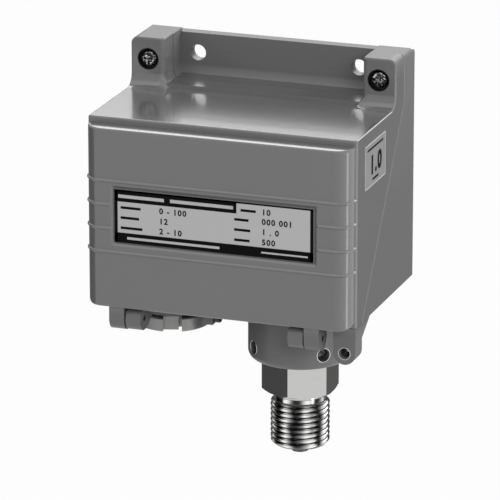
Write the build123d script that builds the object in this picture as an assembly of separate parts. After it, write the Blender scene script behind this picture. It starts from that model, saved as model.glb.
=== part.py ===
from build123d import *
from math import cos, radians, sin, tan
import os

"""Wall-mounted pressure transmitter: die-cast case, hinged front cover, threaded process connection below.

Millimetres. X runs across the case to the right, Y runs back to the wall, Z runs up. The origin is midway
between the two mounting holes, on the rear face. Heights are given above the underside of the case.
"""

# Case and cover
case_width = 98.0
case_depth = 63.8
cover_height = 67.2
case_wall = 3.0
over = 1.0  # how far a cut runs past the face it starts from
tolerance = 0.01  # how near an edge lies to the place it is looked for
edge_round = 0.7
corner_round = 1.0
flange_thickness = 4.3
flange_rise = 16.0
plateau_rise = 1.4

# Ears that carry the cover screws
ear_width = 12.3
ear_front = 21.3
cover_ear_rise = 17.4
base_ear_rise = 16.9
ear_outer_round = 2.5
ear_inner_round = 2.0
ear_foot_fillet = 4.5

# Parting line between cover and base, seen from the side
seam_back = 11.5
seam_foot = 57.3
seam_gap = 0.3
seam_edge = 0.25
gasket_width = 1.4
gasket_thickness = 1.2

# Raised front panel with its beads
panel_depth = 6.0
panel_inset = 0.6
panel_bottom = 0.3
panel_top_drop = 2.0
panel_top_fall = 0.6
panel_side_round = 5.8
panel_corner_round = 4.0
panel_edge_round = 0.8
bead_height = 1.25
bead_proud = 0.5
bead_chamfer = 0.45
bead_heights = (46.1, 37.6, 29.0, 20.5)

# Nameplate and side label
plate_width = 72.5
plate_height = 19.1
plate_centre_x = -1.0
plate_centre_height = 33.75
plate_thickness = 0.5
recess_depth = 1.0
recess_margin = 0.3
recess_lip = 0.2
label_depth = 22.8
label_height = 15.6
label_centre_y = -44.4
label_centre_height = 54.9
label_thickness = 0.15

# Wall mounting
mount_rise = 8.8
mount_side_inset = 19.0
mount_hole_radius = 2.9

# Cover screws
screw_rise = 9.7
screw_inset = 6.4
screw_radius = 2.0
screw_head_radius = 3.1
screw_head_height = 2.4
screw_head_round = 1.3
counterbore_radius = 4.0
counterbore_depth = 3.0
screw_hole_play = 0.25
screw_reach = 2.4
lead_in_slack = 0.6
tapped_depth = 5.5
tapped_radius = 1.65
cross_width = 0.9
cross_length = 4.0
cross_depth = 1.2

# Cover hinge
hinge_depth = 64.3
hinge_drop = 4.4
hinge_centre_x = -1.4
hinge_side_inset = 10.5
hinge_block_width = 5.5
hinge_block_radius = 4.3
hinge_knuckle_width = 5.5
hinge_knuckle_radius = 4.05
hinge_side_gap = 0.5
hinge_arm_back = 46.5
hinge_pin_radius = 1.2
hinge_pin_play = 0.05
hinge_pin_grip = 0.02
hinge_pin_chamfer = 0.24
hinge_pin_bore = 0.5

# Earth lug
lug_side_inset = 0.6
lug_width = 8.0
lug_front = 62.8
lug_back = 55.4
lug_hole_drop = 9.6
lug_hole_radius = 1.65
lug_sink_radius = 2.7
lug_gusset = 9.0

# Process connection
process_side_inset = 30.2
process_y = -34.3
boss_radius = 18.4
boss_drop = 22.2
boss_fillet = 3.0
stem_radius = 9.0
stem_play = 0.05
hex_flats = 24.0
hex_length = 12.1
hex_chamfer = 1.6
neck_radius = 9.2
neck_length = 1.6
thread_radius = 10.4775
thread_length = 20.0
thread_chamfer = 1.3
spigot_radius = 3.0
spigot_length = 3.0
pressure_bore_radius = 1.5
stem_top = 5.0
seal_drop = 7.0
seal_section_radius = 0.88
seal_groove_width = 2.2
seal_play = 0.02
seal_bore_gap = 0.05
set_screw_angle = 45.0
set_screw_drop = 16.6
set_screw_radius = 2.5
set_screw_length = 7.0
set_screw_play = 0.05
set_screw_bite = 1.0
set_screw_seat_radius = 2.75
set_screw_chamfer = 0.4
socket_flats = 2.5
socket_depth = 2.6

# Pressure sensor inside the case
sensor_radius = 11.0
sensor_height = 12.0
sensor_collar_radius = 8.0
sensor_collar_height = 2.5
sensor_chamfer = 0.8
lead_width = 6.0
lead_thickness = 0.8
lead_rise = 8.0
lead_bend = 3.0

# Cable entry
port_side_inset = 20.2
port_y = -34.3
port_radius = 12.6
port_drop = 8.7
port_bore_radius = 10.2
port_floor_hole_radius = 6.0
port_shoulder_drop = 1.0
gland_radius = 13.6
gland_height = 4.9
gland_gap = 0.8
gland_play = 0.06
gland_bore_radius = 5.6
gland_notch_count = 4
gland_notch_angle = 19.0
gland_notch_width = 6.6
gland_notch_depth = 3.0
gland_slit_width = 1.2
gland_slit_depth = 6.2
gland_chamfer = 0.4
packing_bore_radius = 4.5
packing_length = 4.2
washer_thickness = 1.0

# Small screw lug under the case
seal_lug_x = -7.4
seal_lug_thickness = 2.4
seal_lug_front = 55.8
seal_lug_length = 4.6
seal_lug_drop = 7.0
seal_screw_drop = 4.9
seal_screw_radius = 1.0
seal_head_radius = 1.7
seal_head_length = 2.4
seal_head_round = 0.6
seal_screw_tail = 0.8

# Circuit board and what it carries
board_side_inset = 8.0
board_bottom = 10.0
board_top_drop = 7.2
board_thickness = 1.6
board_corner = 1.5
pillar_length = 8.7
pillar_radius = 3.2
pillar_inset = 4.5
board_screw_radius = 1.2
board_screw_length = 6.0
board_head_radius = 2.4
board_head_height = 1.6
board_head_round = 0.7
board_hole_play = 0.05
terminal_poles = 3
terminal_pitch = 8.0
terminal_inset = 10.0
terminal_height = 11.0
terminal_depth = 12.0
terminal_bottom = 14.0
terminal_well_radius = 2.4
terminal_well_depth = 3.0
terminal_entry = 4.0
terminal_entry_height = 3.3
terminal_chamfer = 1.0
terminal_screw_radius = 2.2
terminal_screw_height = 1.6
driver_slot = 0.7
driver_slot_depth = 0.7
trimmer_size = 7.0
trimmer_height = 5.0
top_row_drop = 9.0
trimmer_places = {"zero": 8.0, "span": 24.0}
rotor_radius = 1.8
rotor_play = 0.06
rotor_seat = 2.0
rotor_proud = 0.3
capacitor_radius = 4.0
capacitor_height = 9.0
capacitor_round = 0.6
capacitors_at = (-27.0, -17.0)
chip_height = 2.0
chips_at = ((-4.5, 10.0, 10.0, 7.0), (-12.0, 27.0, 14.0, 9.0), (31.0, 26.0, 8.0, 12.0))
plug_width = 9.0
plug_height = 5.0
plug_depth = 4.5
plug_row = 31.0


half_width = case_width / 2
flange_height = cover_height + flange_rise
cover_ear_height = cover_height + cover_ear_rise
base_ear_height = cover_height + base_ear_rise
mount_height = cover_height + mount_rise
mount_spacing = case_width - 2 * mount_side_inset
screw_height = cover_height + screw_rise
panel_top = cover_height - panel_top_drop
process_x = half_width - process_side_inset
port_x = port_side_inset - half_width
board_width = case_width - 2 * board_side_inset
board_top = cover_height - board_top_drop
top_row = board_top - top_row_drop
terminal_left = terminal_inset - board_width / 2


def up(height):
    """Z of a height above the underside of the case."""
    return height - mount_height


def across(points, width, centre=0.0):
    """Solid of a side outline, corners as (Y, height), spread across X."""
    corners = [(0, y, up(height)) for y, height in points]
    face = make_face(Polyline(*corners, close=True))
    return Pos(centre, 0, 0) * extrude(face, width / 2, (1, 0, 0), both=True)


def block(x_range, y_range, height_range):
    """Box between two corners, the vertical range given as heights."""
    (x0, x1), (y0, y1), (h0, h1) = x_range, y_range, height_range
    return Pos((x0 + x1) / 2, (y0 + y1) / 2, up((h0 + h1) / 2)) * Box(x1 - x0, y1 - y0, h1 - h0)


def rod_x(radius, x0, x1, y, height):
    """Cylinder along X."""
    return Pos((x0 + x1) / 2, y, up(height)) * Rot(0, 90, 0) * Cylinder(radius, x1 - x0)


def rod_y(radius, y0, y1, x, height):
    """Cylinder along Y."""
    return Pos(x, (y0 + y1) / 2, up(height)) * Rot(90, 0, 0) * Cylinder(radius, y1 - y0)


def rod_z(radius, height0, height1, x, y):
    """Cylinder along Z."""
    return Pos(x, y, up((height0 + height1) / 2)) * Cylinder(radius, height1 - height0)


inner_half = half_width - case_wall
rim_y = -case_depth
seam_slope = (seam_foot - seam_back) / cover_height
seam_angle_cos = 1 / (1 + seam_slope**2) ** 0.5
hinge_y = -hinge_depth
screw_y = -ear_front + counterbore_depth
ear_inner_x = half_width - ear_width
screw_centre = half_width - screw_inset
hinge_span = case_width - 2 * hinge_side_inset
lug_left = half_width - lug_side_inset - lug_width


def seam_y(height, forward=0.0):
    """Y of the slanted parting plane at a height, moved forward by a gap square to the plane."""
    return -seam_foot + seam_slope * height - forward / seam_angle_cos


def seam_cutter(side, forward=0.0):
    """Everything behind (side 1) or in front (side -1) of the parting line."""
    far = side * case_width * 2
    low = -case_width
    high = case_width * 1.5
    knee = cover_height
    points = (
        (seam_y(low, forward), low),
        (seam_y(knee, forward), knee),
        (seam_y(knee, forward), high),
        (far, high),
        (far, low),
    )
    return across(points, case_width * 2)


def case_block():
    """Solid outline shared by cover and base: box, flange, plateau and ear blocks, with their blends."""
    body = block((-half_width, half_width), (rim_y, 0), (0, cover_height))
    body += block((-half_width, half_width), (-flange_thickness, 0), (0, flange_height))
    for side in (-1, 1):
        span = sorted((side * ear_inner_x, side * half_width))
        ear = block(span, (-ear_front, -flange_thickness / 2), (cover_height / 2, cover_ear_height))
        inner = ear.edges().filter_by(Axis.Z).group_by(Axis.Y)[0].sort_by(Axis.X)[0 if side > 0 else -1]
        ear = fillet(inner, ear_inner_round)
        body += ear
    feet = [
        edge
        for edge in body.edges()
        if abs(edge.center().Z - up(cover_height)) < tolerance
        and edge.center().Y > -ear_front - 0.1
        and edge.center().Y < -flange_thickness + 0.1
        and abs(edge.center().X) < half_width - 0.1
    ]
    body = fillet(feet, ear_foot_fillet)
    plateau = (cover_height - over, cover_height + plateau_rise)
    body += block((-ear_inner_x, ear_inner_x), (-ear_front, 0), plateau)
    return soften(body)


def soften(body):
    """Rounds the outer corners of the casing, the last call running on along the whole top outline."""

    def on_side(edge):
        return all(abs(abs((edge @ t).X) - half_width) < tolerance for t in (0, 0.5, 1))

    summit = up(cover_ear_height)
    ear_tops = [e for e in body.edges() if on_side(e) and abs(e.center().Z - summit) < tolerance]
    body = fillet(ear_tops, ear_outer_round)
    uprights = [e for e in body.edges() if on_side(e) and abs(e.center().Y - rim_y) < tolerance]
    body = fillet(uprights, corner_round)
    sills = [e for e in body.edges() if on_side(e) and abs(e.center().Z - up(0)) < tolerance]
    body = fillet(sills, edge_round)
    brow = [
        e
        for e in body.edges().filter_by(Axis.X)
        if abs(e.center().Y - rim_y) < tolerance and abs(e.center().Z - up(cover_height)) < tolerance
    ]
    return fillet(brow, edge_round)


def ease_seam(body, forward):
    """Breaks the outer edges of the parting face, so that the joint shows as a fine line."""

    def on_seam(point):
        slanted = seam_y(point.Z + mount_height, forward)
        upright = seam_y(cover_height, forward)
        return abs(point.Y - min(slanted, upright)) < tolerance or abs(point.Y - upright) < tolerance

    def on_outside(point):
        return abs(abs(point.X) - half_width) < tolerance

    edges = [
        edge
        for edge in body.edges()
        if all(on_seam(edge @ t) and on_outside(edge @ t) for t in (0, 0.5, 1))
    ]
    return chamfer(edges, seam_edge)


def panel_plan(proud):
    """Outline of the raised panel seen from above, grown outwards by proud."""
    half = half_width - panel_inset + proud
    front = rim_y - panel_depth - proud
    round_radius = panel_side_round + proud
    back = rim_y + over
    outline = Polyline((-half, back), (-half, front), (half, front), (half, back), close=True)
    face = make_face(outline)
    corners = face.vertices().group_by(Axis.Y)[0]
    return fillet(corners, round_radius)


def raised_panel():
    """Front panel: round sides, rounded lower corners, four beads running round to the rim."""
    slab = Pos(0, 0, up(panel_bottom)) * extrude(panel_plan(0.0), panel_top - panel_bottom)
    y_range = (rim_y - panel_depth - over, rim_y + over)
    lower = block((-half_width, half_width), y_range, (panel_bottom, panel_top + case_wall))
    lower = fillet(lower.edges().filter_by(Axis.Y).group_by(Axis.Z)[0], panel_corner_round)
    slab = slab & lower
    slope = panel_top_fall / panel_depth
    wedge = (
        (rim_y, panel_top),
        (rim_y - panel_depth - over, panel_top - slope * (panel_depth + over)),
        (rim_y - panel_depth - over, panel_top + over),
        (rim_y, panel_top + over),
    )
    slab -= across(wedge, case_width)
    front_edges = [
        edge
        for edge in slab.edges()
        if edge.center().Y < rim_y - 0.5
        and (
            edge.center().Z > up(panel_top - panel_top_fall) - tolerance
            or edge.center().Z < up(panel_bottom) + tolerance
        )
    ]
    slab = fillet(front_edges, panel_edge_round)
    for height in bead_heights:
        bead = Pos(0, 0, up(height - bead_height / 2)) * extrude(panel_plan(bead_proud), bead_height)
        rims = [edge for edge in bead.edges() if abs((edge % 0.5).Z) < 0.5]
        outer = [edge for edge in rims if edge.center().Y < rim_y + 0.9 * over]
        slab += chamfer(outer, bead_chamfer)
    return slab


def make_front_cover():
    """Hinged cover: hollow wedge with the raised panel, its two screw ears and two hinge blocks."""
    shell = ease_seam(case_block() & seam_cutter(-1, seam_gap), seam_gap)
    shell += raised_panel()
    low = rim_y + case_wall - panel_depth
    cavity = (
        (low, case_wall),
        (low, panel_top - case_wall),
        (rim_y + case_wall, cover_height - case_wall),
        (0, cover_height - case_wall),
        (0, case_wall),
    )
    shell -= across(cavity, 2 * inner_half - panel_side_round)
    main = (
        (rim_y + case_wall, case_wall),
        (rim_y + case_wall, cover_height - case_wall),
        (0, cover_height - case_wall),
        (0, case_wall),
    )
    shell -= across(main, 2 * inner_half)
    shell -= nameplate_recess()
    for side in (-1, 1):
        x = side * screw_centre
        shell -= rod_y(counterbore_radius, -ear_front - ear_foot_fillet - over, screw_y, x, screw_height)
        shell -= rod_y(screw_radius + screw_hole_play, screw_y - over, 0, x, screw_height)
        shell += hinge_block(side)
    return shell


def nameplate_recess():
    """Shallow pocket with sloping walls for the nameplate."""
    front = rim_y - panel_depth
    width = plate_width + 2 * recess_margin
    height = plate_height + 2 * recess_margin
    reach = bead_proud + recess_lip
    centre = (plate_centre_x, front, up(plate_centre_height))
    face = Plane(origin=centre, x_dir=(1, 0, 0), z_dir=(0, -1, 0))
    spread = 2 * (recess_depth + reach)
    floor = face * Pos(0, 0, -recess_depth) * Rectangle(width, height)
    mouth = face * Pos(0, 0, reach) * Rectangle(width + spread, height + spread)
    return loft([floor, mouth])


def hinge_ends(side):
    """X ranges of the cover block and of the base knuckle on one side."""
    outer = hinge_centre_x + side * hinge_span / 2
    block_inner = outer - side * hinge_block_width
    knuckle_outer = block_inner - side * hinge_side_gap
    knuckle_inner = knuckle_outer - side * hinge_knuckle_width
    return sorted((outer, block_inner)), sorted((knuckle_outer, knuckle_inner))


def hinge_block(side):
    """Cover half of one hinge, square above and round below, bored for the pin."""
    (x0, x1), _ = hinge_ends(side)
    y_range = (hinge_y - hinge_block_radius, hinge_y + hinge_block_radius)
    piece = block((x0, x1), y_range, (-hinge_drop, case_wall))
    piece += rod_x(hinge_block_radius, x0, x1, hinge_y, -hinge_drop)
    piece -= rod_x(hinge_pin_radius + hinge_pin_play, x0 - over, x1 + over, hinge_y, -hinge_drop)
    return piece


def hinge_arm(side):
    """Base half of one hinge: round knuckle on an arm that runs back under the case."""
    _, (x0, x1) = hinge_ends(side)
    piece = rod_x(hinge_knuckle_radius, x0, x1, hinge_y, -hinge_drop)
    top = -hinge_drop + hinge_knuckle_radius
    drop = hinge_drop + hinge_knuckle_radius
    tail = (
        (hinge_y, top),
        (hinge_y, -drop),
        (hinge_y + hinge_knuckle_radius / 2, -drop),
        (-hinge_arm_back, 0),
        (-hinge_arm_back, case_wall / 2),
        (seam_y(case_wall / 2), case_wall / 2),
        (seam_y(0), 0),
        (seam_y(0), top),
    )
    piece += across(tail, x1 - x0, (x0 + x1) / 2)
    piece -= rod_x(hinge_pin_radius + hinge_pin_grip, x0 - over, x1 + over, hinge_y, -hinge_drop)
    return piece


def make_hinge_pin(side):
    """Tubular pin through one cover block and its knuckle."""
    (a0, a1), (b0, b1) = hinge_ends(side)
    ends = (min(a0, b0), max(a1, b1))
    pin = rod_x(hinge_pin_radius, *ends, hinge_y, -hinge_drop)
    pin = chamfer(pin.edges().filter_by(GeomType.CIRCLE), hinge_pin_chamfer)
    return pin - rod_x(hinge_pin_bore, ends[0] - over, ends[1] + over, hinge_y, -hinge_drop)


def earth_lug():
    """Round-ended lug below the case with a countersunk tapped hole facing front."""
    x0, x1 = lug_left, lug_left + lug_width
    centre = (x0 + x1) / 2
    radius = lug_width / 2
    piece = block((x0, x1), (-lug_front, -lug_back), (-lug_hole_drop, -seam_gap))
    piece += rod_y(radius, -lug_front, -lug_back, centre, -lug_hole_drop)
    gusset = (
        (seam_y(case_wall / 2), case_wall / 2),
        (seam_y(0), 0),
        (seam_y(0), -lug_hole_drop + radius),
        (-lug_back, -lug_hole_drop + radius),
        (-lug_back + lug_gusset, 0),
        (-lug_back + lug_gusset, case_wall / 2),
    )
    piece += across(gusset, lug_width, centre)
    piece -= rod_y(lug_hole_radius, -lug_front - over, -lug_back + lug_gusset, centre, -lug_hole_drop)
    sink = Pos(centre, -lug_front, up(-lug_hole_drop)) * Rot(-90, 0, 0)
    piece -= sink * Cone(lug_sink_radius, lug_hole_radius, 2 * (lug_sink_radius - lug_hole_radius))
    return piece


def process_boss():
    """Cylindrical boss under the case that grips the process connection."""
    boss = rod_z(boss_radius, -boss_drop, case_wall / 2, process_x, process_y)
    return fillet(boss.edges().filter_by(GeomType.CIRCLE).group_by(Axis.Z)[0], boss_fillet)


def set_screw_frame(side):
    """Placement of one set screw: local Z points out of the boss."""
    angle = radians(side * set_screw_angle)
    outward = (sin(angle), -cos(angle), 0)
    return Plane(origin=(process_x, process_y, up(-set_screw_drop)), x_dir=(0, 0, 1), z_dir=outward)


def seal_lug():
    """Small lug under the case that carries a cross screw."""
    x_range = (seal_lug_x - seal_lug_thickness / 2, seal_lug_x + seal_lug_thickness / 2)
    y_range = (-seal_lug_front, -seal_lug_front + seal_lug_length)
    lug = block(x_range, y_range, (-seal_lug_drop, case_wall / 2))
    hole_y = sum(y_range) / 2
    ends = (x_range[0] - over, x_range[1] + over)
    lug -= rod_x(seal_screw_radius + hinge_pin_grip, *ends, hole_y, -seal_screw_drop)
    return lug


def board_pillars():
    """(X, height) of the four pillars behind the board."""
    x = board_width / 2 - pillar_inset
    return [(sx * x, h) for sx in (-1, 1) for h in (board_bottom + pillar_inset, board_top - pillar_inset)]


def make_base_case():
    """Rear casting: flange, wedge-sided tray, hinge arms, earth lug, process boss and cable port."""
    body = case_block()
    trim = (base_ear_height, cover_ear_height + over)
    body -= block((-case_width, case_width), (-case_depth, 0), trim)
    body = ease_seam(body & seam_cutter(1), 0.0)
    for side in (-1, 1):
        body += hinge_arm(side)
    body += earth_lug()
    body += process_boss()
    body += rod_z(port_radius, -port_drop, case_wall / 2, port_x, port_y)
    body += seal_lug()
    room = (case_wall, cover_height - case_wall)
    body -= block((-inner_half, inner_half), (rim_y, -flange_thickness), room)
    for x, height in board_pillars():
        body += rod_y(pillar_radius, -flange_thickness - pillar_length, -flange_thickness / 2, x, height)
        hole = board_screw_radius + board_hole_play
        body -= rod_y(hole, -flange_thickness - pillar_length - over, -flange_thickness, x, height)
    body -= rod_z(stem_radius + stem_play, -boss_drop - over, case_wall + over, process_x, process_y)
    body -= rod_z(port_bore_radius, -port_drop - over, -port_shoulder_drop, port_x, port_y)
    body -= rod_z(port_floor_hole_radius, -port_shoulder_drop - over, case_wall + over, port_x, port_y)
    for side in (-1, 1):
        x = side * mount_spacing / 2
        body -= rod_y(mount_hole_radius, -flange_thickness - over, over, x, mount_height)
        x = side * screw_centre
        sink_radius = screw_radius + screw_reach + lead_in_slack
        sink_depth = sink_radius - tapped_radius
        sink = Pos(0, 0, sink_depth / 2) * Cone(sink_radius, tapped_radius, sink_depth)
        body -= Pos(x, -seam_back, up(screw_height)) * Rot(-90, 0, 0) * sink
        body -= rod_y(tapped_radius, -seam_back, -seam_back + sink_depth + tapped_depth, x, screw_height)
        length = boss_radius + over
        hole = set_screw_frame(side) * Pos(0, 0, length / 2)
        body -= hole * Cylinder(set_screw_radius + set_screw_play, length)
    body -= gasket_ring(0.0)
    return body


def gasket_ring(proud):
    """Closed ring lying in the base's rim along the slanted parting plane."""
    middle = case_wall / 2
    outer_half = half_width - middle + gasket_width / 2
    inner = outer_half - gasket_width
    low = middle - gasket_width / 2
    high = cover_height - middle + gasket_width / 2
    sunk = gasket_thickness - seam_gap

    def band(half, low_height, high_height):
        front, back = proud, -sunk
        points = (
            (seam_y(low_height, front), low_height),
            (seam_y(high_height, front), high_height),
            (seam_y(high_height, back), high_height),
            (seam_y(low_height, back), low_height),
        )
        return across(points, 2 * half)

    return band(outer_half, low, high) - band(inner, low + gasket_width, high - gasket_width)


def make_nameplate():
    """Thin plate lying in the panel's recess."""
    front = rim_y - panel_depth + recess_depth
    x_range = (plate_centre_x - plate_width / 2, plate_centre_x + plate_width / 2)
    heights = (plate_centre_height - plate_height / 2, plate_centre_height + plate_height / 2)
    return block(x_range, (front - plate_thickness, front), heights)


def make_side_label():
    """Thin label on the cover's right side."""
    y_range = (label_centre_y - label_depth / 2, label_centre_y + label_depth / 2)
    heights = (label_centre_height - label_height / 2, label_centre_height + label_height / 2)
    return block((half_width, half_width + label_thickness), y_range, heights)


def make_cover_screw(side):
    """Pan-head cross-recess screw seated in the cover's counterbore."""
    x = side * screw_centre
    head_front = screw_y - screw_head_height
    head = rod_y(screw_head_radius, head_front, screw_y, x, screw_height)
    head = fillet(head.edges().filter_by(GeomType.CIRCLE).group_by(Axis.Y)[0], screw_head_round)
    shank_end = -seam_back + screw_reach
    screw = head + rod_y(screw_radius, screw_y - screw_head_round / 2, shank_end, x, screw_height)
    for size in ((cross_length, cross_width), (cross_width, cross_length)):
        arm = Box(size[0], 2 * cross_depth, size[1])
        screw -= Pos(x, head_front, up(screw_height)) * arm
    return screw


def make_process_connection():
    """Turned stainless connection: stem, hexagon, undercut, thread cylinder and centring spigot."""
    flat_radius = hex_flats / 2 / cos(radians(30))
    prism = Rot(0, 0, 30) * extrude(RegularPolygon(flat_radius, 6), hex_length)
    hexagon = Pos(process_x, process_y, up(-boss_drop - hex_length)) * prism
    crown = rod_z(flat_radius, -boss_drop - hex_length, -boss_drop, process_x, process_y)
    lower = crown.edges().filter_by(GeomType.CIRCLE).group_by(Axis.Z)[0]
    crown = chamfer(lower, hex_chamfer * tan(radians(30)), hex_chamfer)
    body = hexagon & crown
    body += rod_z(stem_radius, -boss_drop, stem_top, process_x, process_y)
    thread_top = -boss_drop - hex_length
    body += rod_z(neck_radius, thread_top - neck_length, thread_top, process_x, process_y)
    thread_range = (thread_top - thread_length, thread_top - neck_length)
    thread = rod_z(thread_radius, *thread_range, process_x, process_y)
    ends = thread.edges().filter_by(GeomType.CIRCLE)
    body += chamfer(ends, thread_chamfer)
    tip = thread_top - thread_length - spigot_length
    body += rod_z(spigot_radius, tip, thread_top - thread_length, process_x, process_y)
    body -= rod_z(pressure_bore_radius, tip - over, stem_top + over, process_x, process_y)
    groove_core = seal_centre_radius() - seal_section_radius - seal_play
    groove_range = (-seal_drop - seal_groove_width / 2, -seal_drop + seal_groove_width / 2)
    groove = rod_z(stem_radius + over, *groove_range, process_x, process_y)
    groove -= rod_z(groove_core, *groove_range, process_x, process_y)
    body -= groove
    for side in (-1, 1):
        seat = Cylinder(set_screw_seat_radius, 2 * set_screw_bite)
        body -= set_screw_frame(side) * Pos(0, 0, stem_radius) * seat
    return body


def seal_centre_radius():
    """Ring radius of the stem seal, running just clear of the boss bore."""
    return stem_radius + stem_play - seal_section_radius - seal_bore_gap


def make_connection_seal():
    """Round-section seal in the stem's groove."""
    return Pos(process_x, process_y, up(-seal_drop)) * Torus(seal_centre_radius(), seal_section_radius)


def make_set_screw(side):
    """Socket set screw, flush in the boss, its point in the stem's seat."""
    start = stem_radius - set_screw_bite + set_screw_play
    end = start + set_screw_length
    screw = Pos(0, 0, (start + end) / 2) * Cylinder(set_screw_radius, set_screw_length)
    screw = chamfer(screw.edges().filter_by(GeomType.CIRCLE), set_screw_chamfer)
    hexagon = RegularPolygon(socket_flats / 2, 6, major_radius=False)
    socket = Pos(0, 0, end - socket_depth) * extrude(hexagon, socket_depth + over)
    return set_screw_frame(side) * (screw - socket)


def make_sensor_capsule():
    """Sensing cell on top of the stem inside the case."""
    body = rod_z(sensor_radius, stem_top, stem_top + sensor_height, process_x, process_y)
    body = chamfer(body.edges().filter_by(GeomType.CIRCLE), sensor_chamfer)
    top = stem_top + sensor_height
    collar = (top - sensor_chamfer, top + sensor_collar_height)
    body += rod_z(sensor_collar_radius, *collar, process_x, process_y)
    return body


def sensor_top():
    """Height of the sensing cell's collar."""
    return stem_top + sensor_height + sensor_collar_height


def board_front():
    """Y of the board's component side."""
    return -flange_thickness - pillar_length - board_thickness


def make_sensor_lead():
    """Flat lead from the sensing cell back to the board's plug."""
    y_end = board_front() - plug_depth
    path = FilletPolyline(
        (process_x, process_y, up(sensor_top())),
        (process_x, process_y, up(sensor_top() + lead_rise)),
        (process_x, (process_y + y_end) / 2, up(plug_row)),
        (process_x, y_end, up(plug_row)),
        radius=lead_bend,
    )
    start = Plane(origin=path @ 0, x_dir=(1, 0, 0), z_dir=(0, 0, 1))
    return sweep(start * Rectangle(lead_width, lead_thickness), path)


def make_sensor_plug():
    """Plug housing on the board for the sensor lead."""
    front = board_front()
    return block(
        (process_x - plug_width / 2, process_x + plug_width / 2),
        (front - plug_depth, front),
        (plug_row - plug_height / 2, plug_row + plug_height / 2),
    )


def make_gland_nut():
    """Slotted gland nut with a hollow spigot up into the cable port."""
    top = -port_drop - gland_gap
    ring = rod_z(gland_radius, top - gland_height, top, port_x, port_y)
    ring = chamfer(ring.edges().filter_by(GeomType.CIRCLE), gland_chamfer)
    tall = gland_height + 2 * over
    for turn in range(gland_notch_count):
        angle = gland_notch_angle + turn * 360 / gland_notch_count
        frame = Pos(port_x, port_y, up(top - gland_height / 2)) * Rot(0, 0, angle)
        notch = Pos(0, -gland_radius, 0) * Box(gland_notch_width, 2 * gland_notch_depth, tall)
        slit_x = (gland_notch_width - gland_slit_width) / 2
        slit = Pos(slit_x, -gland_radius, 0) * Box(gland_slit_width, 2 * gland_slit_depth, tall)
        ring -= frame * notch
        ring -= frame * slit
    spigot_top = -port_shoulder_drop - packing_length - washer_thickness
    ring += rod_z(port_bore_radius - gland_play, top - over, spigot_top, port_x, port_y)
    ring -= rod_z(gland_bore_radius, top - gland_height - over, spigot_top + over, port_x, port_y)
    return ring


def make_gland_washer():
    """Washer between the nut and the packing."""
    top = -port_shoulder_drop - packing_length
    ring = rod_z(port_bore_radius - 2 * gland_play, top - washer_thickness, top, port_x, port_y)
    return ring - rod_z(gland_bore_radius, top - washer_thickness - over, top + over, port_x, port_y)


def make_gland_packing():
    """Rubber ring that closes on the cable."""
    top = -port_shoulder_drop
    ring = rod_z(port_bore_radius - 2 * gland_play, top - packing_length, top, port_x, port_y)
    return ring - rod_z(packing_bore_radius, top - packing_length - over, top + over, port_x, port_y)


def make_seal_screw():
    """Small screw through the lug under the case."""
    y = -seal_lug_front + seal_lug_length / 2
    left = seal_lug_x - seal_lug_thickness / 2 - seal_screw_tail
    right = seal_lug_x + seal_lug_thickness / 2
    screw = rod_x(seal_screw_radius, left, right + seal_head_round, y, -seal_screw_drop)
    head = rod_x(seal_head_radius, right, right + seal_head_length, y, -seal_screw_drop)
    head = fillet(head.edges().filter_by(GeomType.CIRCLE).group_by(Axis.X)[-1], seal_head_round)
    slot = Box(2 * driver_slot_depth, 2 * seal_head_radius, driver_slot)
    head -= Pos(right + seal_head_length, y, up(-seal_screw_drop)) * slot
    return screw + head


def make_amplifier_board():
    """Circuit board on its four pillars."""
    back = -flange_thickness - pillar_length
    y_range = (back - board_thickness, back)
    board = block((-board_width / 2, board_width / 2), y_range, (board_bottom, board_top))
    board = fillet(board.edges().filter_by(Axis.Y), board_corner)
    for x, height in board_pillars():
        hole = board_screw_radius + board_hole_play
        board -= rod_y(hole, back - board_thickness - over, back + over, x, height)
    return board


def make_board_screws():
    """Four pan-head screws holding the board."""
    front = board_front()
    screws = []
    for x, height in board_pillars():
        head = rod_y(board_head_radius, front - board_head_height, front, x, height)
        head = fillet(head.edges().filter_by(GeomType.CIRCLE).group_by(Axis.Y)[0], board_head_round)
        shank = (front - board_head_round, front + board_screw_length)
        screw = head + rod_y(board_screw_radius, *shank, x, height)
        slot = Box(driver_slot, 2 * driver_slot_depth, 2 * board_head_radius)
        screw -= Pos(x, front - board_head_height, up(height)) * slot
        screws.append(screw)
    return Compound(screws)


def terminal_centres():
    """X of each terminal pole."""
    return [terminal_left + (pole + 0.5) * terminal_pitch for pole in range(terminal_poles)]


def make_terminal_block():
    """Three-pole terminal block with open wire entries below and screw wells in front."""
    front = board_front()
    x_range = (terminal_left, terminal_left + terminal_poles * terminal_pitch)
    y_range = (front - terminal_depth, front)
    body = block(x_range, y_range, (terminal_bottom, terminal_bottom + terminal_height))
    body = chamfer(body.edges().filter_by(Axis.X).group_by(Axis.Y)[0], terminal_chamfer)
    for x in terminal_centres():
        well = (front - terminal_depth - over, front - terminal_depth + terminal_well_depth)
        body -= rod_y(terminal_well_radius, *well, x, terminal_bottom + terminal_height / 2)
        half = terminal_entry / 2
        middle = front - terminal_depth / 2
        heights = (terminal_bottom - over, terminal_bottom + terminal_entry_height)
        body -= block((x - half, x + half), (middle - half, middle + half), heights)
    return body


def make_terminal_screws():
    """One slotted screw seated in each terminal well."""
    seat = board_front() - terminal_depth + terminal_well_depth
    height = terminal_bottom + terminal_height / 2
    screws = []
    for x in terminal_centres():
        screw = rod_y(terminal_screw_radius, seat - terminal_screw_height, seat, x, height)
        slot = Box(2 * terminal_screw_radius, 2 * driver_slot_depth, driver_slot)
        screw -= Pos(x, seat - terminal_screw_height, up(height)) * slot
        screws.append(screw)
    return Compound(screws)


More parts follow.
